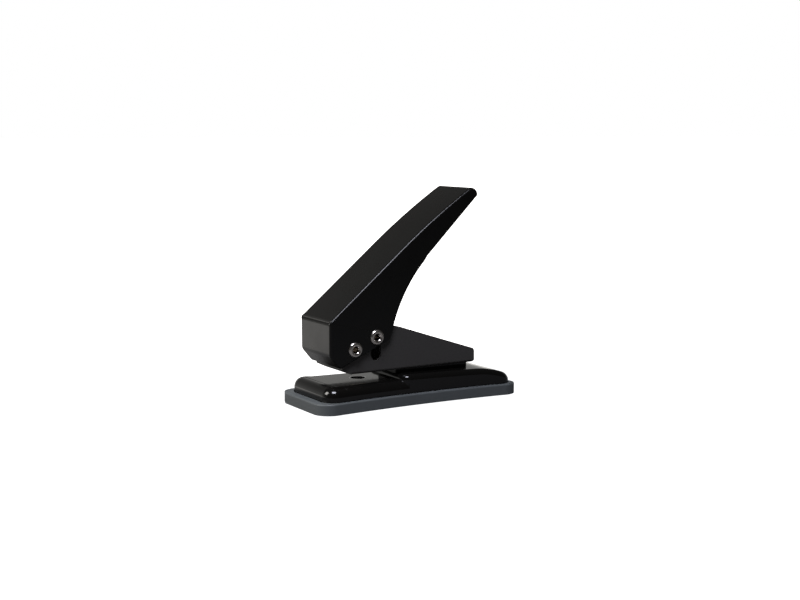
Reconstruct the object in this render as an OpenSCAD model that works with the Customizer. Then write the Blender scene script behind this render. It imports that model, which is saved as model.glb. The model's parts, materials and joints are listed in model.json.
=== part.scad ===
// Single-hole desk punch: a pressed steel base in a removable chip tray, a folded
// channel frame, and a folded hand lever that drives one spring-returned punch.
// The origin is on the bench, below the middle of the tray. +X runs from the nose
// to the rear, +Y across the punch and +Z up. Every length is in millimetres.

/* [Chip tray] */
// Length of the tray, which is the length of the whole punch
tray_l = 115; // [100:1:150]
// Width of the tray across its ends
tray_w = 47.5; // [40:0.5:64]
// Height of the tray's rim
tray_h = 5.5; // [4.5:0.1:8]
// Radius of the tray's corners in plan
tray_corner_r = 8.5; // [6:0.1:11]
// How far each long side curves in at its middle
waist = 2.4; // [1:0.1:3.5]
// Width of the rim that shows around the base plate
rim_w = 2.4; // [1.5:0.1:4]
// How much wider the rim is at the front
front_ledge = 2.1; // [0.5:0.1:3]
// Thickness of the tray's floor
tray_floor_t = 1.2; // [0.8:0.1:2]

/* [Base plate] */
// Sheet thickness of the base pressing
plate_t = 1.4; // [1:0.1:1.6]
// Radius of the pressing's corners in plan
base_corner_r = 6.8; // [5.5:0.1:7]
// Height of the low front platform, where the paper lies
platform_z = 12.3; // [11:0.1:15]
// Height of the raised deck behind the throat, at its front edge
deck_rise = 2.6; // [1.5:0.1:3.2]
// Slope of the deck towards the rear
deck_slope = 1.2; // [0.5:0.1:2.5]
// Radius of the curve that carries the deck down at the rear
deck_tail_r = 51; // [42:1:70]
// Radius of the platform's edges
platform_edge_r = 5; // [3:0.1:5]
// Radius of the deck's edges
deck_edge_r = 3; // [2:0.1:4]
// Distance from the punch back to the step that stops the paper
throat = 15.5; // [13:0.5:22]

/* [Frame] */
// Width of the channel frame over its side plates
frame_w = 27; // [22:0.1:32]
// Sheet thickness of the channel frame
frame_t = 1.5; // [1:0.1:1.8]
// Gap between the platform and the frame's floor, where the paper goes in
paper_gap = 4.5; // [4.2:0.1:6]
// Height of the frame's crown above its underside
frame_h = 22.5; // [21:0.5:28]
// Height of the side plates at the tail
tail_h = 7.5; // [5:0.1:10]
// Distance from the tray's rear edge to the frame's tail
tail_setback = 22; // [16:0.5:30]

/* [Lever] */
// Sheet thickness of the lever
lever_t = 1.4; // [1:0.1:1.8]
// Length of the straight front half of the lever's back
back_straight = 51.8; // [40:0.1:65]
// Length of the crowned rear half of the lever's back
back_crown = 47.9; // [40:0.1:65]
// Radius of the crowned half
back_crown_r = 380; // [300:5:600]
// Slope of the straight half at rest
back_slope = 39.7; // [36:0.1:43]
// Slope of the straight edge under the handle at rest
handle_slope = 44.5; // [41:0.1:47]
// Radius of the turned-down tip
tip_r = 3.5; // [2.5:0.1:4.5]
// Radius of the scoop in the lower edge of each cheek
scoop_r = 77; // [65:0.5:90]

/* [Mechanism] */
// Diameter of the hole that is punched
hole_d = 7.1; // [5:0.1:9]
// Distance from the tray's front edge to the punch
punch_setback = 32.5; // [31:0.5:40]
// Height of the lever's pivot above the frame's underside
pivot_rise = 12.4; // [12:0.1:15]
// Distance from the punch back to the drive rivet
drive_behind = 2.2; // [1.5:0.1:3]
// Height of the drive rivet above the pivot at rest
drive_rise = 5.2; // [4.5:0.1:6]
// Angle that the lever turns through when it is pressed
press_angle = 30; // [24:1:32]
// Outer radius of the pivot rivet's shank
pivot_r = 2.5; // [2.2:0.1:2.9]
// Outer radius of the drive rivet's shank
drive_r = 2; // [1.7:0.1:2.3]
// Outer radius of the rivets' rolled heads
rivet_head_r = 3.8; // [3.3:0.1:4.5]
// Diameter of the return spring's wire
spring_wire = 0.7; // [0.5:0.05:0.8]
// Number of turns in the return spring
spring_turns = 4; // [3:0.5:4]

/* [Clearances] */
// Gap between the base plate's skirt and the tray
tray_clearance = 0.3; // [0.2:0.05:0.5]
// Side gap between the frame and the lever's cheeks, which the washers fill
cheek_gap = 0.5; // [0.4:0.05:0.8]
// Radial gap of a shaft that runs in a hole
running_fit = 0.05; // [0.02:0.01:0.08]
// Gap around a part that moves in a slot
slot_clearance = 0.2; // [0.15:0.05:0.3]
// Gap between the spring's seat and the sleeve on the pivot
pivot_gap = 0.75; // [0.5:0.05:1.5]

/* [Hidden] */
$fn = 96;
fine = 360;
eps = 0.01;
lap = 1;
far = 400;

// How far the waist's curve dips into the corner arcs, so that the two always cross
tuck = 0.03;

// How far a cut runs past the face that it goes through
past = 1;

// Punch, guide and spring
punch_r = hole_d / 2;
bush_wall = 0.8;
bush_r = punch_r + bush_wall;
bush_up = 2.4;
bush_flange_t = 0.8;
spring_gap = 0.3;
spring_in_r = bush_r + spring_gap;
spring_out_r = spring_in_r + spring_wire;
seat_t = 0.5;
seat_r = spring_out_r + spring_gap;
bush_flange_r = seat_r;
punch_rest_gap = 0.2;
neck_r = 2.2;

// Rivets, sleeves and washers
rivet_wall = 0.5;
rivet_head_t = 1;
washer_r = 3.4;
washer_play = 0.1;
pivot_sleeve_wall = 0.9;
pivot_sleeve_r = pivot_r + pivot_sleeve_wall;
drive_sleeve_wall = 0.6;
drive_sleeve_r = drive_r + drive_sleeve_wall;
sleeve_play = 0.1;

// Places along the punch
punch_x = punch_setback - tray_l / 2;
pivot_x = punch_x - seat_r - pivot_gap - pivot_sleeve_r;
drive_x = punch_x + drive_behind;
step_x = punch_x + throat;
tail_x = tray_l / 2 - tail_setback;

// Heights
frame_z = platform_z + paper_gap;
floor_top_z = frame_z + frame_t;
pivot_z = frame_z + pivot_rise;
drive_z = pivot_z + drive_rise;
deck_z = platform_z + deck_rise;
skirt_z = tray_floor_t + tray_clearance;

// The tray's cavity, and the pressing that fits in it with an even gap all round
cavity_l = tray_l - 2 * rim_w - front_ledge;
cavity_w = tray_w - 2 * rim_w;
cavity_x = front_ledge / 2;
cavity_corner_r = base_corner_r + tray_clearance;
base_l = cavity_l - 2 * tray_clearance;
base_w = cavity_w - 2 * tray_clearance;
base_rear_x = cavity_x + base_l / 2;

// The drive rivet's swing about the pivot
drive_arm = norm([drive_x - pivot_x, drive_rise]);
drive_rest_angle = atan2(drive_rise, drive_x - pivot_x);
drive_end_angle = drive_rest_angle - press_angle;
drive_max_x = pivot_x + drive_arm;
drive_end_z = pivot_z + drive_arm * sin(drive_end_angle);

// Widths across the punch
frame_in_w = frame_w - 2 * frame_t;
lever_in_w = frame_w + 2 * cheek_gap;
lever_w = lever_in_w + 2 * lever_t;

// Punch yoke
yoke_lip = 1.4;
yoke_wall = 1.8;
yoke_gap = 0.15;
yoke_w = 12;
yoke_corner_r = 1.5;
yoke_slot_z = drive_z - drive_sleeve_r - yoke_gap;
yoke_z = yoke_slot_z - yoke_lip;
yoke_top_z = drive_z + drive_sleeve_r + yoke_gap + yoke_wall;
yoke_slot_x = drive_x - drive_sleeve_r - slot_clearance;
yoke_slot_end_x = drive_max_x + drive_sleeve_r + slot_clearance;

// Die bush
die_wall = 1.1;
die_r = punch_r + die_wall;
die_t = 2.2;
die_flange = 1;
die_flange_t = 0.8;

// Pad that carries the frame, and the two rivets that hold the frame down on it
pad_w = 17;
pad_setback = 1.2;
pad_tail = 1.5;
pad_front_ramp = 1;
pad_rear_ramp = 2.5;
frame_rivet_r = 1.6;
frame_rivet_head_r = 3;
frame_rivet_head_t = 1.2;
frame_rivet_front = 9;
frame_rivet_rear = 11;
frame_rivet_xs = [step_x + frame_rivet_front, tail_x - frame_rivet_rear];

// Frame
frame_ahead = 6.2;
frame_x = pivot_x - frame_ahead;
lip_run = 5.2;
lip_rise = 2.4;
lip_angle = atan2(lip_rise, lip_run);
crown_front_r = 12;
crown_rear_r = 26;
top_slope = 18.2;
tail_r = 2;
fold_r = 1.4;
floor_end = 3;
slot_over = 0.15;
slot_under = 2.9;
slot_r = (drive_max_x - drive_x) / 2 + drive_r + slot_clearance;
slot_x = (drive_x + drive_max_x) / 2;
slot_low_z = drive_end_z - drive_r - slot_clearance - slot_under + slot_r;
slot_high_z = drive_z + drive_r + slot_clearance + slot_over - slot_r;

// ---- Outlines and helpers ----

// Points along an arc about c, from angle a0 to a1
function arc(c, r, a0, a1, n = 12) =
    [for (i = [0:n]) c + r * [cos(a0 + (a1 - a0) * i / n), sin(a0 + (a1 - a0) * i / n)]];

function unit(v) = v / norm(v);

// The normal on the right-hand side of the way from a to b
function right_of(a, b) = unit([b[1] - a[1], a[0] - b[0]]);

// An open path moved to its right by d, with mitred corners
function moved_right(p, d) = [
    for (i = [0:len(p) - 1])
        let (before = right_of(p[max(i - 1, 0)], p[max(i, 1)]),
             after = right_of(p[min(i, len(p) - 2)], p[min(i + 1, len(p) - 1)]),
             mean = unit(before + after))
        p[i] + mean * d / (mean * before)
];

// Radius of the long sides' curve, which meets the corner arcs almost without a kink
function waist_r(l, r) = (pow(l / 2 - r, 2) + waist * waist) / (2 * waist) - r;

// A profile drawn in X and Z, given a width across the punch
module across(w) {
    translate([0, w / 2, 0])
        rotate([90, 0, 0])
            linear_extrude(w) children();
}

// A round bar or hole across the punch
module cross_cylinder(x, z, r, w) {
    translate([x, w / 2, z])
        rotate([90, 0, 0])
            cylinder(r = r, h = w);
}

// Repeats its children on both sides of the middle
module both_sides() {
    children();
    mirror([0, 1, 0]) children();
}

// The part of a waisted outline that lies inside its corner centres. The edge strips
// reach in past its border by lap, so its own sides are cut back by half of that.
module waisted_core(l, w, r) {
    side_r = waist_r(l, r);
    side_y = w / 2 - waist + side_r - tuck;
    difference() {
        square([l - 2 * r - lap, w - 2 * r], center = true);
        for (s = [-1, 1])
            translate([0, s * side_y]) circle(r = side_r + r + lap / 2, $fn = fine);
    }
}

// Cross-section of a slab's edge, outward from the line of its corner centres. It
// starts the given distance inside that line.
module edge_section(r, z0, z1, edge_r, inside = 0) {
    intersection() {
        translate([-inside, 0]) square([r + inside, z1]);
        union() {
            translate([-inside, z0]) square([r + inside, z1 - z0 - edge_r]);
            translate([-inside, z0]) square([r + inside - edge_r, z1 - z0]);
            translate([r - edge_r, z1 - edge_r]) circle(r = edge_r);
        }
    }
}

// A slab with waisted sides, round corners and a rounded upper edge
module waisted_slab(l, w, r, z0, z1, edge_r) {
    side_r = waist_r(l, r);
    side_y = w / 2 - waist + side_r - tuck;
    half_angle = asin((l / 2 - r) / (side_r + r));
    translate([0, 0, z0]) linear_extrude(z1 - z0) waisted_core(l, w, r);
    for (s = [0, 1]) mirror([s, 0, 0]) {
        translate([l / 2 - r, w / 2 - r, 0])
            rotate([90, 0, 0])
                linear_extrude(w - 2 * r) edge_section(r, z0, z1, edge_r, lap);
        for (t = [-1, 1])
            translate([l / 2 - r, t * (w / 2 - r), 0])
                rotate_extrude() edge_section(r, z0, z1, edge_r);
    }
    both_sides()
        translate([0, side_y, 0])
            rotate([0, 0, -90 - half_angle])
                rotate_extrude(angle = 2 * half_angle, $fn = fine)
                    translate([side_r + r, 0]) mirror([1, 0]) edge_section(r, z0, z1, edge_r, lap);
}

// ---- Chip tray ----

tray_edge_r = 0.8;

module chip_tray() {
    color([0.42, 0.45, 0.48])
        difference() {
            waisted_slab(tray_l, tray_w, tray_corner_r, 0, tray_h, tray_edge_r);
            translate([cavity_x, 0, 0])
                waisted_slab(cavity_l, cavity_w, cavity_corner_r,
                             tray_floor_t, tray_h + tray_edge_r + past, tray_edge_r);
        }
}

// ---- Base plate ----

// How far ahead of the frame's tail the deck begins to curve down
bend_ahead = 1.5;

// Side view of the space that the deck may fill, lowered by drop
module deck_side(drop) {
    top = deck_z - drop;
    tail_r = deck_tail_r - drop;
    bend_x = tail_x - bend_ahead;
    bend_z = deck_z - (bend_x - step_x) * tan(deck_slope);
    tail_c = [bend_x - deck_tail_r * sin(deck_slope), bend_z - deck_tail_r * cos(deck_slope)];
    deck_x = step_x + drop;
    corner_r = deck_rise - eps;
    difference() {
        union() {
            polygon(concat(
                [[deck_x, 0]],
                arc([deck_x + corner_r, top - corner_r], corner_r, 180, 90 - deck_slope),
                [tail_c + tail_r * [sin(deck_slope), cos(deck_slope)], [bend_x, 0]]));
            intersection() {
                translate(tail_c) circle(r = tail_r, $fn = fine);
                translate([bend_x - lap, 0]) square([far, far]);
            }
        }
        translate([base_rear_x + eps, 0]) square([far, far]);
    }
}

// The pressing's outer or inner form: drop is 0 outside and the sheet's thickness inside
module base_form(drop, low_z) {
    l = base_l - 2 * drop;
    w = base_w - 2 * drop;
    r = base_corner_r - drop;
    intersection() {
        translate([cavity_x, 0, 0])
            waisted_slab(l, w, r, low_z, platform_z - drop, min(platform_edge_r - drop, r - eps));
        across(far) tail_limit(drop);
    }
    intersection() {
        translate([cavity_x, 0, 0])
            waisted_slab(l, w, r, low_z, deck_z - drop, min(deck_edge_r - drop, r - eps));
        across(far) deck_side(drop);
    }
}

// Side view that lets the platform's slab run only up to the deck
module tail_limit(drop) {
    limit_x = step_x + deck_rise + drop + eps;
    translate([-far, 0]) square([far + limit_x, far]);
}

// The raised pad that carries the frame
module pad_form(drop) {
    top = frame_z - drop;
    start = step_x + pad_setback + drop;
    stop = tail_x - pad_tail - drop;
    across(pad_w - 2 * drop)
        polygon([
            [start, platform_z],
            [start + pad_front_ramp, top],
            [stop - pad_rear_ramp, top],
            [stop, platform_z]
        ]);
}

module base_plate() {
    color([0.05, 0.05, 0.055])
        difference() {
            union() {
                base_form(0, skirt_z);
                pad_form(0);
            }
            base_form(plate_t, skirt_z - past);
            pad_form(plate_t);
            translate([punch_x, 0, platform_z - plate_t - past])
                cylinder(r = die_r, h = plate_t + 2 * past);
            for (x = frame_rivet_xs)
                translate([x, 0, frame_z - plate_t - past])
                    cylinder(r = frame_rivet_r, h = plate_t + 2 * past);
        }
}

// Hardened ring pressed into the platform from below
module die_bush() {
    color([0.35, 0.35, 0.37])
        difference() {
            union() {
                translate([punch_x, 0, platform_z - die_t])
                    cylinder(r = die_r, h = die_t);
                translate([punch_x, 0, platform_z - plate_t - die_flange_t])
                    cylinder(r = die_r + die_flange, h = die_flange_t);
            }
            translate([punch_x, 0, platform_z - die_t - past])
                cylinder(r = punch_r + running_fit, h = die_t + 2 * past);
        }
}

// ---- Frame ----

// Side view of one frame plate
module frame_side() {
    top = frame_z + frame_h;
    tail_top = [tail_x - tail_r, frame_z + tail_h - tail_r];
    line_start = tail_top + tail_r * [sin(top_slope), cos(top_slope)];
    crown_c_x = line_start[0] + crown_rear_r * sin(top_slope)
        - (top - crown_rear_r * (1 - cos(top_slope)) - line_start[1]) / tan(top_slope)
        - 2 * crown_rear_r * sin(top_slope);
    polygon(concat(
        [[frame_x, frame_z + lip_rise], [frame_x + lip_run, frame_z]],
        arc([tail_x - fold_r, frame_z + fold_r], fold_r, -90, 0, 6),
        arc(tail_top, tail_r, 0, 90 - top_slope, 6),
        arc([crown_c_x, top - crown_rear_r], crown_rear_r, 90 - top_slope, 90, 6),
        arc([frame_x + crown_front_r, top - crown_front_r], crown_front_r, 90, 180, 10)));
}

// Side view of the channel's open inside, above its floor and front lip
module frame_inside() {
    lip = moved_right([[frame_x + lip_run, frame_z], [frame_x, frame_z + lip_rise]], frame_t);
    polygon([
        lip[1] + (lip[1] - lip[0]),
        [frame_x + lip_run + frame_t * tan(lip_angle / 2), floor_top_z],
        [far, floor_top_z],
        [far, far],
        [-far, far]
    ]);
}

// Rounds the fold along the bottom of one side plate
module fold_cut() {
    translate([frame_x + lip_run, frame_w / 2 - fold_r, frame_z + fold_r])
        rotate([90, 0, 90])
            linear_extrude(far)
                difference() {
                    translate([0, -2 * fold_r]) square([2 * fold_r, 2 * fold_r]);
                    circle(r = fold_r);
                }
}

module frame_channel() {
    color([0.09, 0.09, 0.09])
        difference() {
            across(frame_w) frame_side();
            across(frame_in_w) frame_inside();
            translate([tail_x - floor_end, -frame_in_w / 2, 0]) cube([far, frame_in_w, far]);
            both_sides() fold_cut();
            cross_cylinder(pivot_x, pivot_z, pivot_r + running_fit, 2 * frame_w);
            cross_cylinder(slot_x, slot_low_z, slot_r, 2 * frame_w);
            cross_cylinder(slot_x, slot_high_z, slot_r, 2 * frame_w);
            translate([slot_x - slot_r, -frame_w, slot_low_z])
                cube([2 * slot_r, 2 * frame_w, slot_high_z - slot_low_z]);
            translate([punch_x, 0, frame_z - past])
                cylinder(r = bush_r, h = frame_t + 2 * past);
            for (x = frame_rivet_xs)
                translate([x, 0, frame_z - past])
                    cylinder(r = frame_rivet_r, h = frame_t + 2 * past);
        }
}

// Side view of a solid rivet from its axis: a shank with a flat head at each end
module frame_rivet_section() {
    low = frame_z - plate_t;
    translate([0, low]) square([frame_rivet_r, floor_top_z - low]);
    for (z = [low - frame_rivet_head_t, floor_top_z])
        translate([0, z]) square([frame_rivet_head_r, frame_rivet_head_t]);
}

module frame_rivets() {
    color([0.55, 0.55, 0.56])
        for (x = frame_rivet_xs)
            translate([x, 0, 0]) rotate_extrude() frame_rivet_section();
}

// Flanged sleeve in the frame's floor that the punch slides in
module guide_bush() {
    color([0.7, 0.6, 0.35])
        translate([punch_x, 0, 0])
            difference() {
                union() {
                    translate([0, 0, frame_z]) cylinder(r = bush_r, h = frame_t + bush_up);
                    translate([0, 0, floor_top_z]) cylinder(r = bush_flange_r, h = bush_flange_t);
                }
                translate([0, 0, frame_z - past])
                    cylinder(r = punch_r + running_fit, h = frame_t + bush_up + 2 * past);
            }
}

// ---- Tubes and washers across the punch ----

module cross_tube(x, z, out_r, in_r, w) {
    difference() {
        cross_cylinder(x, z, out_r, w);
        cross_cylinder(x, z, in_r, w + 2 * past);
    }
}

// A ring against each face of the frame
module side_washers(x, z, in_r) {
    t = cheek_gap - washer_play;
    both_sides()
        translate([0, frame_w / 2 + cheek_gap - t / 2, 0])
            cross_tube(x, z, washer_r, in_r, t);
}

module pivot_sleeve() {
    color([0.6, 0.6, 0.62])
        cross_tube(pivot_x, pivot_z, pivot_sleeve_r, pivot_r + running_fit,
                   frame_in_w - 2 * sleeve_play);
}

module pivot_washers() {
    color([0.85, 0.84, 0.8])
        side_washers(pivot_x, pivot_z, pivot_r + running_fit);
}

module drive_sleeve() {
    color([0.6, 0.6, 0.62])
        cross_tube(drive_x, drive_z, drive_sleeve_r, drive_r, frame_in_w - 4 * sleeve_play);
}

module drive_washers() {
    color([0.85, 0.84, 0.8])
        side_washers(drive_x, drive_z, drive_r);
}

// A tubular rivet: a bored shank with a rolled ring head at each end
module tube_rivet(x, z, r) {
    roll_r = (rivet_head_r - r + rivet_wall) / 2;
    translate([x, 0, z])
        rotate([90, 0, 0])
            difference() {
                union() {
                    cylinder(r = r, h = lever_w, center = true);
                    for (s = [-1, 1])
                        translate([0, 0, s * lever_w / 2])
                            intersection() {
                                rotate_extrude()
                                    translate([rivet_head_r - roll_r, 0]) circle(r = roll_r);
                                translate([0, 0, s * rivet_head_t / 2])
                                    cylinder(r = far, h = rivet_head_t, center = true);
                            }
                }
                cylinder(r = r - rivet_wall, h = 2 * lever_w, center = true);
            }
}

module pivot_rivet() {
    color([0.75, 0.75, 0.76]) tube_rivet(pivot_x, pivot_z, pivot_r);
}

module drive_rivet() {
    color([0.75, 0.75, 0.76]) tube_rivet(drive_x, drive_z, drive_r);
}

// ---- Lever ----

pivot = [pivot_x, pivot_z];
nose_front = 13.7;
nose_r = 1.8;
nose_top = 13.1;
nose_low = pivot + [-nose_front, -2.2];
nose_end = pivot + [-8, -9];
nose_c = pivot + [nose_r - nose_front, nose_top];
tip_end_angle = -7;
back_dir = [cos(back_slope), sin(back_slope)];
back_normal = [-sin(back_slope), cos(back_slope)];
back_start = nose_c + nose_r * back_normal;
crown_c = back_start + back_straight * back_dir - back_crown_r * back_normal;
crown_turn = back_crown / back_crown_r * 180 / PI;
crown_end_angle = 90 + back_slope - crown_turn;
tip_c = crown_c + (back_crown_r - tip_r) * [cos(crown_end_angle), sin(crown_end_angle)];

// The lever's skin in side view: up the nose, along the back and round the tip
skin = concat(
    [nose_end, nose_low],
    arc(nose_c, nose_r, 180, 90 + back_slope, 6),
    arc(crown_c, back_crown_r, 90 + back_slope, crown_end_angle, 16),
    arc(tip_c, tip_r, crown_end_angle, tip_end_angle, 8));

// The cheek's lower edge: straight under the handle, a scoop, a boss round the
// drive rivet and a straight run to the nose, each tangent to the next
tip_low = skin[len(skin) - 1];
boss_c = [drive_x + 1.4, drive_z + 3.4];
boss_r = 7.3;
handle_dir = [cos(handle_slope), sin(handle_slope)];
handle_below = [sin(handle_slope), -cos(handle_slope)];
to_line = tip_low + scoop_r * handle_below - boss_c;
along = to_line * handle_dir;
scoop_c = boss_c + to_line - handle_dir
    * (along - sqrt(along * along - to_line * to_line + pow(scoop_r + boss_r, 2)));
to_boss = boss_c - scoop_c;
scoop_end_angle = atan2(to_boss[1], to_boss[0]);
to_nose = nose_end - boss_c;
boss_end_angle = atan2(to_nose[1], to_nose[0]) + acos(boss_r / norm(to_nose));
lower_edge = concat(
    arc(scoop_c, scoop_r, 90 + handle_slope, scoop_end_angle, 16),
    arc(boss_c, boss_r, scoop_end_angle - 180, boss_end_angle, 12));

module lever() {
    inner = moved_right(skin, lever_t);
    last = inner[len(inner) - 1];
    color([0.09, 0.09, 0.09])
        difference() {
            across(lever_w) polygon(concat(skin, lower_edge));
            across(lever_in_w) polygon(concat(inner, [[last[0], 0], [inner[0][0], 0]]));
            cross_cylinder(pivot_x, pivot_z, pivot_r, 2 * lever_w);
            cross_cylinder(drive_x, drive_z, drive_r, 2 * lever_w);
        }
}

// ---- Punch ----

// Hardened punch with a neck that is peened into the yoke
module punch_pin() {
    low = frame_z + punch_rest_gap;
    color([0.68, 0.69, 0.72])
        translate([punch_x, 0, 0]) {
            translate([0, 0, low]) cylinder(r = punch_r, h = yoke_z - low);
            translate([0, 0, low]) cylinder(r = neck_r, h = yoke_slot_z - low);
        }
}

// Side view of the yoke: a block round the punch and the drive sleeve's slot
module yoke_side() {
    front = min(yoke_slot_x - yoke_wall, punch_x - punch_r);
    rear = yoke_slot_end_x + yoke_wall;
    r = yoke_corner_r;
    polygon(concat(
        arc([front + r, yoke_z + r], r, 180, 270, 4),
        arc([rear - r, yoke_z + r], r, 270, 360, 4),
        arc([rear - r, yoke_top_z - r], r, 0, 90, 4),
        arc([front + r, yoke_top_z - r], r, 90, 180, 4)));
}

module punch_yoke() {
    slot_h = 2 * (drive_sleeve_r + yoke_gap);
    color([0.5, 0.5, 0.52])
        difference() {
            across(yoke_w) yoke_side();
            translate([yoke_slot_x, -yoke_w, yoke_slot_z])
                cube([yoke_slot_end_x - yoke_slot_x, 2 * yoke_w, slot_h]);
            translate([punch_x, 0, yoke_z - past]) cylinder(r = neck_r, h = yoke_lip + 2 * past);
        }
}

// Washer between the spring and the yoke
module spring_seat() {
    color([0.7, 0.7, 0.7])
        translate([punch_x, 0, yoke_z - seat_t])
            difference() {
                cylinder(r = seat_r, h = seat_t);
                translate([0, 0, -past]) cylinder(r = punch_r + running_fit, h = seat_t + 2 * past);
            }
}

// Compression spring between the guide bush and the seat
module return_spring() {
    low = floor_top_z + bush_flange_t;
    high = yoke_z - seat_t;
    wire_r = spring_wire / 2;
    pitch = (high - low - spring_wire) / spring_turns;
    color([0.8, 0.8, 0.82])
        translate([punch_x, 0, low + wire_r])
            spring_coil(spring_in_r + wire_r, wire_r, pitch, spring_turns);
}

// A wire swept along a helix, as one closed mesh
module spring_coil(mean_r, wire_r, pitch, turns) {
    sides = 10;
    steps = 24;
    rings = turns * steps;
    points = [
        for (i = [0:rings], j = [0:sides - 1])
            let (a = 360 * i / steps, b = 360 * j / sides, r = mean_r + wire_r * cos(b))
            [r * cos(a), r * sin(a), pitch * i / steps + wire_r * sin(b)]
    ];
    walls = [
        for (i = [0:rings - 1], j = [0:sides - 1])
            let (k = (j + 1) % sides)
            [i * sides + j, (i + 1) * sides + j, (i + 1) * sides + k, i * sides + k]
    ];
    caps = [
        [for (j = [0:sides - 1]) j],
        [for (j = [sides - 1:-1:0]) rings * sides + j]
    ];
    polyhedron(points, concat(walls, caps), convexity = 8);
}

chip_tray();
base_plate();
die_bush();
frame_channel();
frame_rivets();
guide_bush();
pivot_sleeve();
pivot_washers();
lever();
pivot_rivet();
drive_rivet();
drive_sleeve();
drive_washers();
punch_pin();
punch_yoke();
spring_seat();
return_spring();
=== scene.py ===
"""Dresses a single-hole desk punch: a waisted base in its chip tray, a channel frame,
a folded hand lever and a spring-returned punch. Lengths are in metres."""

import json
import math

import bpy
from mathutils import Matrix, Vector

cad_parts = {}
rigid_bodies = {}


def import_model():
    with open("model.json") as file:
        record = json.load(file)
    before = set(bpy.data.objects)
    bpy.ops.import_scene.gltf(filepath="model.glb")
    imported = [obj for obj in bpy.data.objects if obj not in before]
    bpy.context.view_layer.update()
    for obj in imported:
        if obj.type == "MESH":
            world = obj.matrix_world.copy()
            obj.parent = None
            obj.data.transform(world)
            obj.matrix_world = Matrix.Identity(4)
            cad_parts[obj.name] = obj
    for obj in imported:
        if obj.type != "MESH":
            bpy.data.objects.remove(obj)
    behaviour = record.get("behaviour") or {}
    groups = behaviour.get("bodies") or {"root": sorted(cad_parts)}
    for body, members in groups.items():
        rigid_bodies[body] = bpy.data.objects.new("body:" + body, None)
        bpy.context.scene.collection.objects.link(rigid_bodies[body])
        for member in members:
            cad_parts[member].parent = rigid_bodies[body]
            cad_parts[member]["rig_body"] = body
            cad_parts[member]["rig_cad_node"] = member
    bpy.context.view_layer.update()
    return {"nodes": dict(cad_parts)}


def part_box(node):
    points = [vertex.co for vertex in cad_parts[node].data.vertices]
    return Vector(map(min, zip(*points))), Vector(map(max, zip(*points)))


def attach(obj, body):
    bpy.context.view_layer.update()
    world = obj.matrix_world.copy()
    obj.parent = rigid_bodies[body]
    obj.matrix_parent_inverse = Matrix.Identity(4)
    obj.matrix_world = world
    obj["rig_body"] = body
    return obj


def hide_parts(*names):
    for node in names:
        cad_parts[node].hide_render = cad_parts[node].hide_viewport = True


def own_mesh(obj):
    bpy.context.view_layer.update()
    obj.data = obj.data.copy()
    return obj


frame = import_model()

bl_info = {
    "name": "Desk Hole Punch",
    "version": (1, 0, 0),
    "blender": (4, 5, 0),
    "location": "View3D > Sidebar > Hole Punch",
    "description": "Models and finishes a single-hole desk punch",
    "category": "Object",
}

MM = 0.001
FLAT = 0.02
NEAR = 0.02 * MM
ROUND_STEPS = 64
CORNER_STEPS = 14
WAIST_STEPS = 16
EDGE_STEPS = 10
RIM_STEPS = 3
PAD_STEPS = 5
FOLD_STEPS = 6
INNER_FOLD_STEPS = 2
ROLL_STEPS = 10
WIRE_STEPS = 12
COIL_STEPS = 36
DECK_CUTS = 12
FLOOR_SIZE = 60.0


# ---- Sizes and finishes ----


def length(name, description, default):
    """A length property, given in millimetres and held in metres."""
    return bpy.props.FloatProperty(
        name=name,
        description=description,
        default=default * MM,
        precision=5,
        subtype="DISTANCE",
        unit="LENGTH",
    )


def colour(name, description, default):
    """A linear colour property."""
    return bpy.props.FloatVectorProperty(
        name=name,
        description=description,
        default=default,
        min=0.0,
        max=1.0,
        subtype="COLOR",
    )


def share(name, description, default):
    """A number from 0 to 1."""
    return bpy.props.FloatProperty(
        name=name,
        description=description,
        default=default,
        min=0.0,
        max=1.0,
        subtype="FACTOR",
    )


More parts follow.
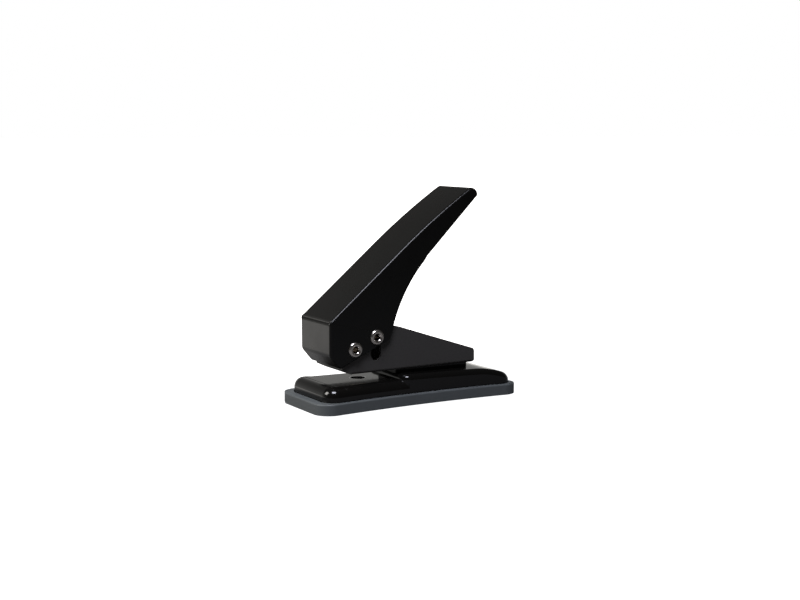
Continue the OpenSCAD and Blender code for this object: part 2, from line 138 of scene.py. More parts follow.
class PunchSizes(bpy.types.PropertyGroup):
    """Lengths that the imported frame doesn't give by itself"""

    tray_corner: length("Tray corner", "Radius of the tray's corners in plan", 8.5)
    base_corner: length("Base corner", "Radius of the base's corners in plan", 6.8)
    waist: length("Waist", "How far each long side curves in at its middle", 2.4)
    tray_gap: length("Tray gap", "Gap between the base and the tray's rim", 0.3)
    tray_floor: length("Tray floor", "Thickness of the tray's floor", 1.2)
    tray_edge: length("Tray edge", "Radius along the tray's upper edge", 0.8)
    lip: length("Tray lip", "Radius along the inner edge of the tray's rim", 0.3)
    sheet: length("Base sheet", "Sheet thickness of the base pressing", 1.4)
    die_flange: length("Die flange", "How far the die's flange stands out", 1.0)
    platform_edge: length("Platform edge", "Radius of the platform's edges", 5.0)
    deck_rise: length("Deck rise", "Height of the deck above the platform", 2.6)
    deck_edge: length("Deck edge", "Radius of the deck's edges", 3.0)
    deck_corner: length("Deck corner", "Plan radius of the deck's front corners", 5.0)
    deck_tail: length("Deck tail", "Radius of the curve down at the rear", 51.0)
    deck_bend: length("Deck bend", "From the frame's tail to where the deck bends", 1.5)
    throat: length("Throat", "From the punch back to the deck's step", 15.5)
    pad_width: length("Pad width", "Width of the raised pad under the frame", 17.0)
    pad_setback: length("Pad setback", "From the step back to the pad", 1.2)
    pad_edge: length("Pad edge", "Radius of the pad's upper edges", 1.0)
    lever_sheet: length("Lever sheet", "Sheet thickness of the lever", 1.4)
    fold: length("Lever fold", "Outer radius of the lever's folds", 1.2)
    inner_fold: length("Inner fold", "Inner radius of the lever's folds", 0.3)
    rim: length("Sheet rim", "Rounding left on cut sheet edges", 0.18)
    pivot_shank: length("Pivot shank", "Radius of the pivot rivet's shank", 2.5)
    drive_shank: length("Drive shank", "Radius of the drive rivet's shank", 2.0)
    rivet_wall: length("Rivet wall", "Wall of the tubular rivets", 0.5)
    rivet_roll: length("Rivet roll", "Radius of the rivets' rolled heads", 1.15)
    rivet_flare: length("Rivet flare", "Depth of the flare inside each head", 1.5)
    spring_wire: length("Spring wire", "Diameter of the spring's wire", 0.7)
    spring_turns: bpy.props.IntProperty(
        name="Spring turns", description="Turns of the return spring", default=4, min=2
    )
    deck_slope: bpy.props.FloatProperty(
        name="Deck slope",
        description="Slope of the deck towards the rear",
        default=math.radians(1.2),
        subtype="ANGLE",
        unit="ROTATION",
    )


class PunchFinish(bpy.types.PropertyGroup):
    """Colours and gloss of the finishes"""

    tray: colour("Tray", "Slate grey moulding", (0.084, 0.092, 0.093))
    gloss: colour("Base", "Gloss black enamel", (0.004, 0.0037, 0.0033))
    satin: colour("Lever", "Satin black paint", (0.0032, 0.003, 0.0026))
    frame: colour("Frame", "Dull black paint", (0.046, 0.0435, 0.041))
    nickel: colour("Nickel", "Nickel plate on the rivets", (0.62, 0.58, 0.53))
    steel: colour("Steel", "Ground hard steel", (0.5, 0.5, 0.5))
    brass: colour("Bush", "Bush metal", (0.62, 0.46, 0.24))
    nylon: colour("Nylon", "Washer nylon", (0.75, 0.74, 0.7))
    gloss_roughness: share("Base roughness", "Roughness of the enamel", 0.1)
    satin_roughness: share("Lever roughness", "Roughness of the satin paint", 0.3)


# ---- Modelling helpers ----


def sizes():
    return bpy.context.scene.punch_sizes


def finish():
    return bpy.context.scene.punch_finish


def object_mode():
    if bpy.context.object and bpy.context.object.mode != "OBJECT":
        bpy.ops.object.mode_set(mode="OBJECT")


def make_active(piece):
    """Selects one object alone."""
    object_mode()
    bpy.ops.object.select_all(action="DESELECT")
    piece.select_set(True)
    bpy.context.view_layer.objects.active = piece


def settle(piece):
    """Moves a piece's place, turn and size into its mesh."""
    make_active(piece)
    bpy.ops.object.transform_apply(location=True, rotation=True, scale=True)


def pick(piece, kind, test):
    """Selects the vertices, edges or faces that pass a test, and stays in edit mode."""
    make_active(piece)
    bpy.ops.object.mode_set(mode="EDIT")
    bpy.ops.mesh.select_mode(type=kind)
    bpy.ops.mesh.select_all(action="DESELECT")
    bpy.ops.object.mode_set(mode="OBJECT")
    mesh = piece.data
    items = {"VERT": mesh.vertices, "EDGE": mesh.edges, "FACE": mesh.polygons}[kind]
    for item in items:
        item.select = bool(test(item))
    bpy.ops.object.mode_set(mode="EDIT")


def pick_all(piece):
    make_active(piece)
    bpy.ops.object.mode_set(mode="EDIT")
    bpy.ops.mesh.select_all(action="SELECT")


def ends(piece, edge):
    """The two end points of an edge."""
    return [piece.data.vertices[i].co for i in edge.vertices]


def bevel(radius, segments):
    """Rounds the selected edges."""
    bpy.ops.mesh.bevel(
        offset_type="OFFSET",
        offset=radius,
        segments=segments,
        affect="EDGES",
        clamp_overlap=False,
    )


def outward(piece):
    """Welds a piece and turns its faces outwards."""
    pick_all(piece)
    bpy.ops.mesh.remove_doubles(threshold=NEAR / 10)
    bpy.ops.mesh.normals_make_consistent(inside=False)
    object_mode()


def use_modifier(piece, kind, **values):
    """Adds a modifier, sets it and applies it."""
    make_active(piece)
    modifier = piece.modifiers.new(kind.title(), kind)
    for name, value in values.items():
        setattr(modifier, name, value)
    bpy.ops.object.modifier_apply(modifier=modifier.name)


def combine(piece, other, operation):
    """Joins, cuts or trims a piece with another, which is used up."""
    use_modifier(piece, "BOOLEAN", object=other, operation=operation, solver="EXACT")
    bpy.data.objects.remove(other)


def smooth(piece, degrees=32):
    """Shades a piece smooth, apart from its sharp edges, and keeps its flats flat."""
    make_active(piece)
    bpy.ops.object.shade_smooth_by_angle(angle=math.radians(degrees))
    use_modifier(piece, "WEIGHTED_NORMAL", keep_sharp=True, weight=80)


def point(name, place):
    """A new object with one selected vertex, in edit mode."""
    object_mode()
    bpy.ops.object.select_all(action="DESELECT")
    bpy.ops.mesh.primitive_plane_add(size=MM)
    piece = bpy.context.object
    piece.name = piece.data.name = name
    bpy.ops.object.mode_set(mode="EDIT")
    bpy.ops.mesh.select_mode(type="VERT")
    bpy.ops.mesh.select_all(action="SELECT")
    bpy.ops.mesh.merge(type="CENTER")
    bpy.ops.transform.translate(value=place)
    return piece


def line(move):
    """Extrudes the selection along a vector."""
    bpy.ops.mesh.extrude_region_move(TRANSFORM_OT_translate={"value": move})


def turn(centre, angle, steps, up=(0, 0, 1)):
    """Spins the selection about an axis. Positive is anticlockwise seen from its tip."""
    axis = tuple(-value for value in up)
    bpy.ops.mesh.spin(steps=steps, angle=angle, center=centre, axis=axis)


def close_face():
    """Fills the traced outline with one face, and leaves it selected."""
    bpy.ops.mesh.select_all(action="SELECT")
    bpy.ops.mesh.remove_doubles(threshold=NEAR)
    bpy.ops.mesh.edge_face_add()


def cylinder(name, place, radius, depth):
    """An upright round cutter, centred at a place."""
    object_mode()
    bpy.ops.object.select_all(action="DESELECT")
    bpy.ops.mesh.primitive_cylinder_add(
        vertices=ROUND_STEPS, radius=radius, depth=depth, location=place
    )
    piece = bpy.context.object
    piece.name = piece.data.name = name
    settle(piece)
    return piece


def block(name, low, high):
    """A box between two corners."""
    object_mode()
    bpy.ops.object.select_all(action="DESELECT")
    low, high = Vector(low), Vector(high)
    bpy.ops.mesh.primitive_cube_add(
        size=1, location=(low + high) / 2, scale=high - low
    )
    piece = bpy.context.object
    piece.name = piece.data.name = name
    settle(piece)
    return piece


def copy_node(node, name):
    """A welded copy of a CAD node, with its flat faces whole again."""
    make_active(frame["nodes"][node])
    bpy.ops.object.duplicate()
    piece = bpy.context.object
    piece.name = piece.data.name = name
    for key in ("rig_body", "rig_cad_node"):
        del piece[key]
    piece.parent = None
    piece.data.materials.clear()
    pick_all(piece)
    bpy.ops.mesh.customdata_custom_splitnormals_clear()
    bpy.ops.mesh.remove_doubles(threshold=NEAR / 10)
    bpy.ops.mesh.mark_sharp(clear=True)
    bpy.ops.mesh.dissolve_limited(angle_limit=math.radians(0.05))
    object_mode()
    return piece


def place(piece, node, material, slot):
    """Gives a piece its finish and its body, and hides the CAD node that it stands for."""
    object_mode()
    body = frame["nodes"][node]["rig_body"]
    piece.data.materials.clear()
    piece.data.materials.append(material)
    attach(piece, body)
    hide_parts(node)


# ---- Waisted outlines ----


class Plan:
    """A node's outline, moved inwards. Its long sides are arcs that curve in."""

    def __init__(self, node, corner, inset=0.0):
        low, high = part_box(node)
        waist = sizes().waist
        half_l = (high.x - low.x) / 2
        reach = half_l - corner
        side_r = (reach**2 + waist**2) / (2 * waist) - corner
        self.centre_x = (low.x + high.x) / 2
        self.half_l = half_l - inset
        self.corner = corner - inset
        self.side_r = side_r + inset
        self.side_y = high.y - waist + side_r

    def corner_y(self, x, radius):
        """Where a corner arc's centre lies, so that it meets the side arc."""
        return self.side_y - math.sqrt((self.side_r + radius) ** 2 - x**2)

    def tilt(self, x, radius):
        """Angle at which a side arc meets a corner arc whose centre is at x."""
        return math.asin(x / (self.side_r + radius))


def waisted_block(name, plan, low, high, edge, front_x=None, front_corner=None):
    """A closed slab with the plan's outline and a rounded upper edge."""
    front_corner = front_corner or plan.corner
    front = -plan.half_l if front_x is None else front_x - plan.centre_x
    fx = front + front_corner
    fy = plan.corner_y(fx, front_corner)
    rx = plan.half_l - plan.corner
    ry = plan.corner_y(rx, plan.corner)
    front_tilt = plan.tilt(fx, front_corner)
    rear_tilt = plan.tilt(rx, plan.corner)
    quarter = math.pi / 2
    piece = point(name, (front, fy, high))
    line((0, -2 * fy, 0))
    turn((fx, -fy, high), quarter + front_tilt, CORNER_STEPS)
    turn((0, -plan.side_y, high), front_tilt - rear_tilt, WAIST_STEPS)
    turn((rx, -ry, high), quarter - rear_tilt, CORNER_STEPS)
    line((0, 2 * ry, 0))
    turn((rx, ry, high), quarter - rear_tilt, CORNER_STEPS)
    turn((0, plan.side_y, high), front_tilt - rear_tilt, WAIST_STEPS)
    turn((fx, fy, high), quarter + front_tilt, CORNER_STEPS)
    close_face()
    line((0, 0, low - high))
    outward(piece)
    on_top = lambda edge_: all(abs(p.z - high) < NEAR for p in ends(piece, edge_))
    pick(piece, "EDGE", on_top)
    bevel(edge, EDGE_STEPS)
    object_mode()
    piece.location.x = plan.centre_x
    settle(piece)
    return piece


# ---- Chip tray ----


def make_tray():
    low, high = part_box("chip_tray")
    size = sizes()
    outer = Plan("chip_tray", size.tray_corner)
    inner = Plan("base_plate", size.base_corner, -size.tray_gap)
    piece = waisted_block("chip_tray_shell", outer, low.z, high.z, size.tray_edge)
    floor_z = low.z + size.tray_floor
    cavity = waisted_block("tray_cavity", inner, floor_z, high.z + MM, size.lip)
    combine(piece, cavity, "DIFFERENCE")
    inner_rim = lambda edge: all(
        abs(p.z - high.z) < NEAR and abs(p.x - inner.centre_x) < inner.half_l + NEAR
        and on_outline(p, inner)
        for p in ends(piece, edge)
    )
    pick(piece, "EDGE", inner_rim)
    bevel(size.lip, RIM_STEPS)
    object_mode()
    smooth(piece)
    return piece


def on_outline(place, plan):
    """Whether a point lies inside the plan's rim rather than on the outer edge."""
    x = place.x - plan.centre_x
    side = plan.side_y - math.sqrt(plan.side_r**2 - x**2)
    return abs(x) < plan.half_l + NEAR and abs(place.y) < side + NEAR


# ---- Base pressing ----


def deck_fall(x, step_x, bend_x):
    """How far the deck has dropped at x: a slope, and then a curve down at the rear."""
    slope = sizes().deck_slope
    if x <= bend_x:
        return max(0.0, x - step_x) * math.tan(slope)
    radius = sizes().deck_tail
    centre = bend_x - radius * math.sin(slope)
    fall = (bend_x - step_x) * math.tan(slope)
    swing = math.asin(min(1.0, (x - centre) / radius))
    return fall + radius * (math.cos(slope) - math.cos(swing))


def punch_centre():
    low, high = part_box("punch_pin")
    return (low.x + high.x) / 2


def make_deck(inset, bottom):
    """The raised rear of the pressing, sloped and curved down towards the rear."""
    size = sizes()
    platform_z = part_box("die_bush")[1].z
    step_x = punch_centre() + size.throat
    bend_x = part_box("frame_channel")[1].x - size.deck_bend
    plan = Plan("base_plate", size.base_corner, inset)
    deck = waisted_block(
        "deck",
        plan,
        bottom,
        platform_z + size.deck_rise - inset,
        size.deck_edge - inset,
        step_x + inset,
        size.deck_corner - inset,
    )
    rear_x = plan.centre_x + plan.half_l
    for i in range(DECK_CUTS):
        pick_all(deck)
        cut_x = bend_x + (rear_x - size.sheet - bend_x) * i / DECK_CUTS
        bpy.ops.mesh.bisect(plane_co=(cut_x, 0, 0), plane_no=(1, 0, 0))
    object_mode()
    for vertex in deck.data.vertices:
        if vertex.co.z > bottom + MM:
            vertex.co.z -= deck_fall(vertex.co.x, step_x, bend_x)
    outward(deck)
    return deck


def base_form(inset):
    """The pressing's outer form, or its inner form one sheet further in."""
    size = sizes()
    low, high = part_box("base_plate")
    platform_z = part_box("die_bush")[1].z
    bottom = low.z - (MM if inset else 0)
    step_x = punch_centre() + size.throat
    form = waisted_block(
        "base_form",
        Plan("base_plate", size.base_corner, inset),
        bottom,
        platform_z - inset,
        size.platform_edge - inset,
    )
    pick_all(form)
    bpy.ops.mesh.bisect(
        plane_co=(step_x + size.deck_corner + inset, 0, 0),
        plane_no=(1, 0, 0),
        clear_outer=True,
        use_fill=True,
    )
    outward(form)
    shrink = NEAR if inset == 0 else -NEAR
    combine(form, make_deck(inset + shrink, bottom - shrink), "UNION")

    half_pad = size.pad_width / 2 - inset
    pad_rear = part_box("frame_channel")[1].x - size.deck_bend
    pad = block(
        "pad",
        (step_x + size.pad_setback + inset, -half_pad, platform_z - MM),
        (pad_rear - inset, half_pad, high.z - inset),
    )
    rims = lambda edge: all(abs(p.z - high.z + inset) < NEAR for p in ends(pad, edge))
    pick(pad, "EDGE", rims)
    bevel(size.pad_edge, PAD_STEPS)
    object_mode()
    combine(form, pad, "UNION")
    return form


def make_base():
    size = sizes()
    piece = base_form(0)
    piece.name = piece.data.name = "base_pressing"
    combine(piece, base_form(size.sheet), "DIFFERENCE")
    low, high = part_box("die_bush")
    hole = cylinder(
        "die_hole", (punch_centre(), 0, high.z), high.y - size.die_flange, 4 * size.sheet
    )
    combine(piece, hole, "DIFFERENCE")
    smooth(piece)
    return piece


# ---- Lever and frame ----


def fold_edges(piece, half_w, radius, segments):
    """Rounds the folds between the cheeks at half_w and the skin that spans them."""
    mesh = piece.data
    spanning = set()
    for face in mesh.polygons:
        ys = [mesh.vertices[i].co.y for i in face.vertices]
        if abs(face.normal.y) < FLAT and min(ys) < NEAR - half_w and max(ys) > half_w - NEAR:
            spanning.update(face.edge_keys)
    along = lambda edge: edge.key in spanning and all(
        abs(abs(p.y) - half_w) < NEAR for p in ends(piece, edge)
    )
    pick(piece, "EDGE", along)
    bevel(radius, segments)
    object_mode()


def soften(piece, radius, degrees=50, segments=2):
    """Takes the bite off a piece's sharp edges."""
    use_modifier(
        piece,
        "BEVEL",
        width=radius,
        segments=segments,
        limit_method="ANGLE",
        angle_limit=math.radians(degrees),
        use_clamp_overlap=True,
    )


def make_lever():
    size = sizes()
    piece = copy_node("lever", "lever_body")
    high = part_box("lever")[1]
    fold_edges(piece, high.y, size.fold, FOLD_STEPS)
    inside_y = high.y - size.lever_sheet
    fold_edges(piece, inside_y, size.inner_fold, INNER_FOLD_STEPS)
    soften(piece, size.rim)
    smooth(piece)
    return piece


def make_frame():
    piece = copy_node("frame_channel", "frame_body")
    soften(piece, sizes().rim)
    smooth(piece)
    return piece


# ---- Rivets ----


def make_rivet(node, name, shank):
    """A tubular rivet: a section from the bore over both rolled heads, spun whole."""
    low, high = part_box(node)
    centre = (low + high) / 2
    size = sizes()
    lever_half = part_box("lever")[1].y
    head_r = (high.z - low.z) / 2
    bore = shank - size.rivet_wall
    roll = size.rivet_roll
    lip = head_r - 2 * roll
    flare_y = lever_half - size.rivet_flare
    piece = point(name, (centre.x + bore, -flare_y, centre.z))
    line((0, 2 * flare_y, 0))
    line((lip - bore, lever_half - flare_y, 0))
    turn((centre.x + head_r - roll, lever_half, centre.z), -math.pi, ROLL_STEPS)
    line((shank - head_r, 0, 0))
    line((0, -2 * lever_half, 0))
    line((head_r - shank, 0, 0))
    turn((centre.x + head_r - roll, -lever_half, centre.z), -math.pi, ROLL_STEPS)
    bpy.ops.mesh.select_all(action="SELECT")
    bpy.ops.mesh.remove_doubles(threshold=NEAR)
    bpy.ops.mesh.select_all(action="SELECT")
    turn(centre, 2 * math.pi, ROUND_STEPS, (0, 1, 0))
    outward(piece)
    smooth(piece)
    return piece


# ---- Spring and small parts ----


def make_spring():
    """A round wire section, screwed up from the guide bush to the seat."""
    low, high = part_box("return_spring")
    size = sizes()
    wire_r = size.spring_wire / 2
    centre = (low + high) / 2
    coil_r = (high.y - low.y) / 2 - wire_r
    object_mode()
    bpy.ops.object.select_all(action="DESELECT")
    bpy.ops.mesh.primitive_circle_add(
        vertices=WIRE_STEPS,
        radius=wire_r,
        fill_type="NGON",
        location=(coil_r, 0, low.z + wire_r),
        rotation=(math.pi / 2, 0, 0),
    )
    piece = bpy.context.object
    piece.name = piece.data.name = "return_coil"
    settle(piece)
    turns = size.spring_turns
    use_modifier(
        piece,
        "SCREW",
        axis="Z",
        angle=2 * math.pi * turns,
        screw_offset=high.z - low.z - size.spring_wire,
        steps=COIL_STEPS * turns,
        render_steps=COIL_STEPS * turns,
        use_merge_vertices=False,
    )
    piece.location = (centre.x, centre.y, 0)
    settle(piece)
    outward(piece)
    smooth(piece, 60)
    return piece


def make_small(node, name, rim):
    """A CAD node with its sharp edges broken."""
    piece = copy_node(node, name)
    soften(piece, rim, 40)
    smooth(piece, 40)
    return piece


# ---- Materials ----


class Finish:
    """A material whose detail is worked out on Object coordinates."""

    def __init__(self, name, colour, roughness, metallic=0.0, specular=0.5):
        self.material = bpy.data.materials.new(name)
        self.material.use_nodes = True
        self.nodes = self.material.node_tree.nodes
        self.links = self.material.node_tree.links
        self.shader = self.nodes["Principled BSDF"]
        self.colour = (*colour[:3], 1.0)
        self.shader.inputs["Base Color"].default_value = self.colour
        self.shader.inputs["Metallic"].default_value = metallic
        self.shader.inputs["Roughness"].default_value = roughness
        self.shader.inputs["Specular IOR Level"].default_value = specular
        self.roughness = roughness
        self.place = self.nodes.new("ShaderNodeTexCoord").outputs["Object"]

    def noise(self, pitch, detail=2.0, stretch=(1, 1, 1)):
        """Noise whose features are about pitch metres apart."""
        mapping = self.nodes.new("ShaderNodeMapping")
        mapping.inputs["Scale"].default_value = stretch
        self.links.new(self.place, mapping.inputs["Vector"])
        node = self.nodes.new("ShaderNodeTexNoise")
        node.inputs["Scale"].default_value = 1 / pitch
        node.inputs["Detail"].default_value = detail
        self.links.new(mapping.outputs["Vector"], node.inputs["Vector"])
        return node.outputs["Fac"]

    def ranged(self, source, from_low, from_high, to_low, to_high):
        node = self.nodes.new("ShaderNodeMapRange")
        node.inputs["From Min"].default_value = from_low
        node.inputs["From Max"].default_value = from_high
        node.inputs["To Min"].default_value = to_low
        node.inputs["To Max"].default_value = to_high
        self.links.new(source, node.inputs["Value"])
        return node.outputs["Result"]

    def product(self, first, second):
        node = self.nodes.new("ShaderNodeMath")
        node.operation = "MULTIPLY"
        self.links.new(first, node.inputs[0])
        self.links.new(second, node.inputs[1])
        return node.outputs["Value"]

    def smudges(self, pitch, spread):
        """Roughness that varies a little from place to place."""
        low, high = self.roughness - spread, self.roughness + spread
        varied = self.ranged(self.noise(pitch, 4.0), 0.35, 0.65, low, high)
        self.links.new(varied, self.shader.inputs["Roughness"])

    def grain(self, pitch, depth, stretch=(1, 1, 1), detail=2.0):
        """Fine relief of the given depth."""
        bump = self.nodes.new("ShaderNodeBump")
        bump.inputs["Strength"].default_value = 1.0
        bump.inputs["Distance"].default_value = depth
        self.links.new(self.noise(pitch, detail, stretch), bump.inputs["Height"])
        self.links.new(bump.outputs["Normal"], self.shader.inputs["Normal"])

    def edges(self, reach):
        """1 on sharp edges, fading to 0 within reach of them."""
        geometry = self.nodes.new("ShaderNodeNewGeometry")
        bevel_node = self.nodes.new("ShaderNodeBevel")
        bevel_node.samples = 6
        bevel_node.inputs["Radius"].default_value = reach
        dot = self.nodes.new("ShaderNodeVectorMath")
        dot.operation = "DOT_PRODUCT"
        self.links.new(geometry.outputs["Normal"], dot.inputs[0])
        self.links.new(bevel_node.outputs["Normal"], dot.inputs[1])
        return self.ranged(dot.outputs["Value"], 0.98, 0.8, 0.0, 1.0)

    def tinted(self, other_colour, share_of_it):
        """The base colour, mixed with a share of another."""
        mix = self.nodes.new("ShaderNodeMix")
        mix.data_type = "RGBA"
        colour_a, colour_b = [i for i in mix.inputs if i.type == "RGBA"]
        colour_a.default_value = self.colour
        colour_b.default_value = (*other_colour, 1.0)
        self.links.new(share_of_it, mix.inputs["Factor"])
        result = next(o for o in mix.outputs if o.type == "RGBA")
        self.links.new(result, self.shader.inputs["Base Color"])

    def wear(self, worn_colour, reach, amount):
        """Edges rubbed towards another colour, in patches."""
        patches = self.ranged(self.noise(2.5 * MM, 5.0), 0.45, 0.7, 0.0, amount)
        self.tinted(worn_colour, self.product(self.edges(reach), patches))

    def mottle(self, pitch, other_colour, amount):
        """Slow drift of the colour towards another."""
        drift = self.ranged(self.noise(pitch, 4.0), 0.4, 0.7, 0.0, amount)
        self.tinted(other_colour, drift)


def tray_moulding():
    look = Finish("tray_moulding", finish().tray, 0.52, specular=0.4)
    look.smudges(9 * MM, 0.06)
    look.grain(0.45 * MM, 0.012 * MM)
    look.mottle(14 * MM, (0.096, 0.104, 0.105), 0.5)
    return look.material


def gloss_enamel():
    look = Finish("gloss_enamel", finish().gloss, finish().gloss_roughness, specular=0.4)
    look.smudges(12 * MM, 0.03)
    look.grain(2.2 * MM, 0.004 * MM, detail=0.0)
    look.wear((0.05, 0.048, 0.045), 0.4 * MM, 0.5)
    return look.material


def satin_paint():
    look = Finish("satin_paint", finish().satin, finish().satin_roughness, specular=0.3)
    look.smudges(14 * MM, 0.03)
    look.grain(1.2 * MM, 0.003 * MM)
    look.wear((0.02, 0.019, 0.018), 0.3 * MM, 0.12)
    return look.material


def dull_paint():
    look = Finish("dull_paint", finish().frame, 0.5, specular=0.35)
    look.smudges(8 * MM, 0.06)
    look.grain(0.4 * MM, 0.008 * MM)
    look.wear((0.06, 0.058, 0.054), 0.35 * MM, 0.6)
    return look.material


def metal(name, tint, roughness, pitch, stretch):
    look = Finish(name, tint, roughness, metallic=1.0)
    look.smudges(3 * MM, roughness / 4)
    look.grain(pitch, 0.002 * MM, stretch)
    return look.material


def washer_nylon():
    look = Finish("washer_nylon", finish().nylon, 0.4)
    look.smudges(3 * MM, 0.05)
    look.grain(0.5 * MM, 0.003 * MM)
    return look.material


# ---- Operators ----


class PUNCH_OT_tray(bpy.types.Operator):
    """Models the removable chip tray"""

    bl_idname = "punch.tray"
    bl_label = "Chip tray"

    def execute(self, context):
        place(make_tray(), "chip_tray", tray_moulding(), "tray_grey")
        return {"FINISHED"}


class PUNCH_OT_base(bpy.types.Operator):
    """Models the base pressing"""

    bl_idname = "punch.base"
    bl_label = "Base pressing"

    def execute(self, context):
        place(make_base(), "base_plate", gloss_enamel(), "gloss_black")
        return {"FINISHED"}


class PUNCH_OT_frame(bpy.types.Operator):
    """Finishes the channel frame"""

    bl_idname = "punch.frame"
    bl_label = "Channel frame"

    def execute(self, context):
        place(make_frame(), "frame_channel", dull_paint(), "satin_black")
        return {"FINISHED"}


class PUNCH_OT_lever(bpy.types.Operator):
    """Rounds the folds of the hand lever"""

    bl_idname = "punch.lever"
    bl_label = "Hand lever"

    def execute(self, context):
        place(make_lever(), "lever", satin_paint(), "satin_black")
        return {"FINISHED"}


class PUNCH_OT_rivets(bpy.types.Operator):
    """Models the two tubular rivets"""

    bl_idname = "punch.rivets"
    bl_label = "Tubular rivets"

    def execute(self, context):
        nickel = metal("nickel_plate", finish().nickel, 0.24, 0.3 * MM, (1, 1, 1))
        shanks = {"pivot_rivet": sizes().pivot_shank, "drive_rivet": sizes().drive_shank}
        for node, shank in shanks.items():
            place(make_rivet(node, node + "_body", shank), node, nickel, "nickel")
        return {"FINISHED"}


class PUNCH_OT_inner_parts(bpy.types.Operator):
    """Finishes the punch, its guide, spring, sleeves and washers"""

    bl_idname = "punch.inner_parts"
    bl_label = "Inner parts"

    def execute(self, context):
        steel = metal("ground_steel", finish().steel, 0.25, 0.2 * MM, (1, 1, 0.1))
        brass = metal("bush_metal", finish().brass, 0.3, 0.3 * MM, (1, 1, 1))
        wire = metal("spring_wire", finish().steel, 0.2, 0.3 * MM, (1, 1, 1))
        nylon = washer_nylon()
        small = (
            ("die_bush", "die_ring", 0.15, steel, "hard_steel"),
            ("punch_pin", "punch_body", 0.15, steel, "hard_steel"),
            ("punch_yoke", "yoke_body", 0.3, steel, "hard_steel"),
            ("guide_bush", "guide_sleeve", 0.15, brass, "bush_metal"),
            ("frame_rivets", "frame_rivet_pair", 0.5, steel, "nickel"),
            ("pivot_sleeve", "pivot_tube", 0.15, steel, "hard_steel"),
            ("drive_sleeve", "drive_tube", 0.15, steel, "hard_steel"),
            ("spring_seat", "seat_washer", 0.1, steel, "hard_steel"),
            ("pivot_washers", "pivot_washer_pair", 0.08, nylon, "nylon"),
            ("drive_washers", "drive_washer_pair", 0.08, nylon, "nylon"),
        )
        for node, name, rim, material, slot in small:
            place(make_small(node, name, rim * MM), node, material, slot)
        spring = make_spring()
        place(spring, "return_spring", wire, "spring_wire")
        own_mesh(spring)
        return {"FINISHED"}


class PUNCH_OT_stage(bpy.types.Operator):
    """Sets the camera, the floor and the studio light"""

    bl_idname = "punch.stage"
    bl_label = "Stage"

    def execute(self, context):
        set_camera()
        set_floor()
        set_lights()
        return {"FINISHED"}


def set_camera():
    bpy.ops.object.camera_add(
        location=CAMERA_PLACE,
        rotation=(math.radians(90 + CAMERA_PITCH), 0, math.radians(CAMERA_YAW)),
    )
    camera = bpy.context.object
    camera.data.lens = CAMERA_LENS
    camera.data.sensor_width = 36
    camera.data.clip_start = 0.01
    bpy.context.scene.camera = camera


def set_floor():
    """A paper floor that looks white. In the object's reflections it is dark on the near
    side and glows on the far side."""
    bpy.ops.mesh.primitive_plane_add(size=FLOOR_SIZE)
    floor = bpy.context.object
    floor.name = "floor"
    look = Finish("floor_paper", FLOOR_COLOUR, 0.8, specular=0.0)
    glow = look.nodes.new("ShaderNodeEmission")
    glow.inputs["Strength"].default_value = FLOOR_GLOW
    split = look.nodes.new("ShaderNodeSeparateXYZ")
    look.links.new(look.place, split.inputs[0])
    far = look.ranged(split.outputs["Y"], *FAR_FLOOR, 0.0, FAR_GLOW)
    look.shader.inputs["Emission Color"].default_value = FAR_TINT
    look.links.new(far, look.shader.inputs["Emission Strength"])
    ray = look.nodes.new("ShaderNodeLightPath")
    seen = look.nodes.new("ShaderNodeAddShader")
    mix = look.nodes.new("ShaderNodeMixShader")
    look.links.new(look.shader.outputs[0], seen.inputs[0])
    look.links.new(glow.outputs[0], seen.inputs[1])
    look.links.new(ray.outputs["Is Camera Ray"], mix.inputs[0])
    look.links.new(look.shader.outputs[0], mix.inputs[1])
    look.links.new(seen.outputs[0], mix.inputs[2])
    look.links.new(mix.outputs[0], look.nodes["Material Output"].inputs["Surface"])
    floor.data.materials.append(look.material)


def set_world():
    """White behind the object, and for everything else a dim room with a bright band
    that is low over the far side."""
    world = bpy.data.worlds.new("studio")
    bpy.context.scene.world = world
    world.use_nodes = True
    nodes = world.node_tree.nodes
    links = world.node_tree.links
    room = nodes["Background"]
    paper = nodes.new("ShaderNodeBackground")
    paper.inputs["Color"].default_value = (1, 1, 1, 1)
    ray = nodes.new("ShaderNodeLightPath")
    mix = nodes.new("ShaderNodeMixShader")
    way = nodes.new("ShaderNodeTexCoord")
    split = nodes.new("ShaderNodeSeparateXYZ")
    links.new(way.outputs["Generated"], split.inputs[0])
    band = graded(nodes, links, split.outputs["Z"], 0.0, 0.6, BAND_LIGHT, 0.0)
    side = graded(nodes, links, split.outputs["Y"], -0.1, 0.8, 0.0, 1.0)
    product = nodes.new("ShaderNodeMath")
    product.operation = "MULTIPLY"
    links.new(band, product.inputs[0])
    links.new(side, product.inputs[1])
    total = nodes.new("ShaderNodeMath")
    total.operation = "ADD"
    total.inputs[1].default_value = ROOM_LIGHT
    links.new(product.outputs[0], total.inputs[0])
    links.new(total.outputs[0], room.inputs["Strength"])
    room.inputs["Color"].default_value = (1, 0.99, 0.96, 1)
    links.new(ray.outputs["Is Camera Ray"], mix.inputs[0])
    links.new(room.outputs[0], mix.inputs[1])
    links.new(paper.outputs[0], mix.inputs[2])
    links.new(mix.outputs[0], nodes["World Output"].inputs["Surface"])


def graded(nodes, links, source, from_low, from_high, to_low, to_high):
    """A world value mapped from one range to another."""
    node = nodes.new("ShaderNodeMapRange")
    node.inputs["From Min"].default_value = from_low
    node.inputs["From Max"].default_value = from_high
    node.inputs["To Min"].default_value = to_low
    node.inputs["To Max"].default_value = to_high
    links.new(source, node.inputs["Value"])
    return node.outputs["Result"]


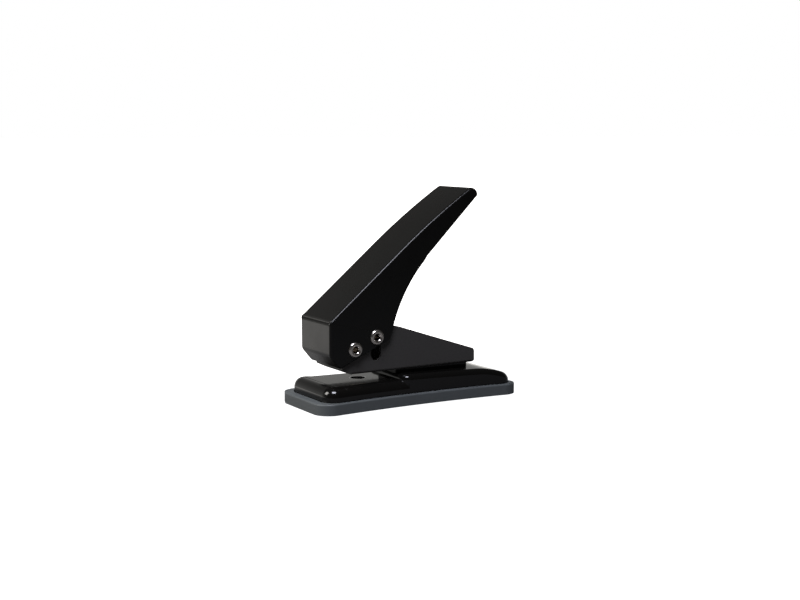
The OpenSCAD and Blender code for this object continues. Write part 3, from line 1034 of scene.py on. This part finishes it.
def softbox(place, aim, width, height, power, tint):
    """A rectangular area light that faces the point it is aimed at."""
    turned = (Vector(aim) - Vector(place)).to_track_quat("-Z", "Y").to_euler()
    bpy.ops.object.light_add(type="AREA", location=place, rotation=turned)
    light = bpy.context.object.data
    light.shape = "RECTANGLE"
    light.size = width
    light.size_y = height
    light.energy = power
    light.color = tint


def set_lights():
    set_world()
    for box in SOFTBOXES:
        softbox(*box)
    bpy.context.scene.view_settings.view_transform = "Standard"


# Camera: place in metres, tilt and heading in degrees, and focal length in mm
CAMERA_PLACE = (-0.33445, -0.55707, 0.13266)
CAMERA_PITCH = -7.3
CAMERA_YAW = -30.94
CAMERA_LENS = 58.65

# Light of the room, of the bright band over the far side, of the floor as the camera
# sees it and of the far floor as the object sees it
ROOM_LIGHT = 0.035
BAND_LIGHT = 0.5
FLOOR_GLOW = 1.0
FAR_GLOW = 1.05

# Floor: its own colour, and the glow of its far part, which grows between two Y
FLOOR_COLOUR = (0.15, 0.15, 0.15)
FAR_TINT = (1, 0.97, 0.92, 1)
FAR_FLOOR = (0.03, 0.15)

# Softboxes: place, aim, width, height, power and tint
SOFTBOXES = (
    ((-0.75, 0.25, 0.6), (-0.25, 0.1, 0.0), 0.4, 0.4, 6.0, (1, 0.97, 0.93)),
    ((-0.2, -0.28, 0.64), (0.0, 0.0, 0.06), 0.3, 0.24, 5.0, (0.86, 0.88, 1.0)),
)


# ---- Panel and registration ----

STEPS = (
    "tray", "base", "frame", "lever", "rivets", "inner_parts", "stage",
)


class PUNCH_PT_panel(bpy.types.Panel):
    """Lists the steps and the sizes"""

    bl_idname = "PUNCH_PT_panel"
    bl_label = "Hole Punch"
    bl_space_type = "VIEW_3D"
    bl_region_type = "UI"
    bl_category = "Hole Punch"

    def draw(self, context):
        for step in STEPS:
            self.layout.operator("punch." + step)
        for group in (context.scene.punch_sizes, context.scene.punch_finish):
            column = self.layout.column()
            for name in group.__annotations__:
                column.prop(group, name)


CLASSES = (
    PunchSizes,
    PunchFinish,
    PUNCH_OT_tray,
    PUNCH_OT_base,
    PUNCH_OT_frame,
    PUNCH_OT_lever,
    PUNCH_OT_rivets,
    PUNCH_OT_inner_parts,
    PUNCH_OT_stage,
    PUNCH_PT_panel,
)


def register():
    for item in CLASSES:
        bpy.utils.register_class(item)
    bpy.types.Scene.punch_sizes = bpy.props.PointerProperty(type=PunchSizes)
    bpy.types.Scene.punch_finish = bpy.props.PointerProperty(type=PunchFinish)


def unregister():
    del bpy.types.Scene.punch_sizes
    del bpy.types.Scene.punch_finish
    for item in reversed(CLASSES):
        bpy.utils.unregister_class(item)


def main():
    register()
    for step in STEPS:
        getattr(bpy.ops.punch, step)()


if __name__ == "__main__":
    main()
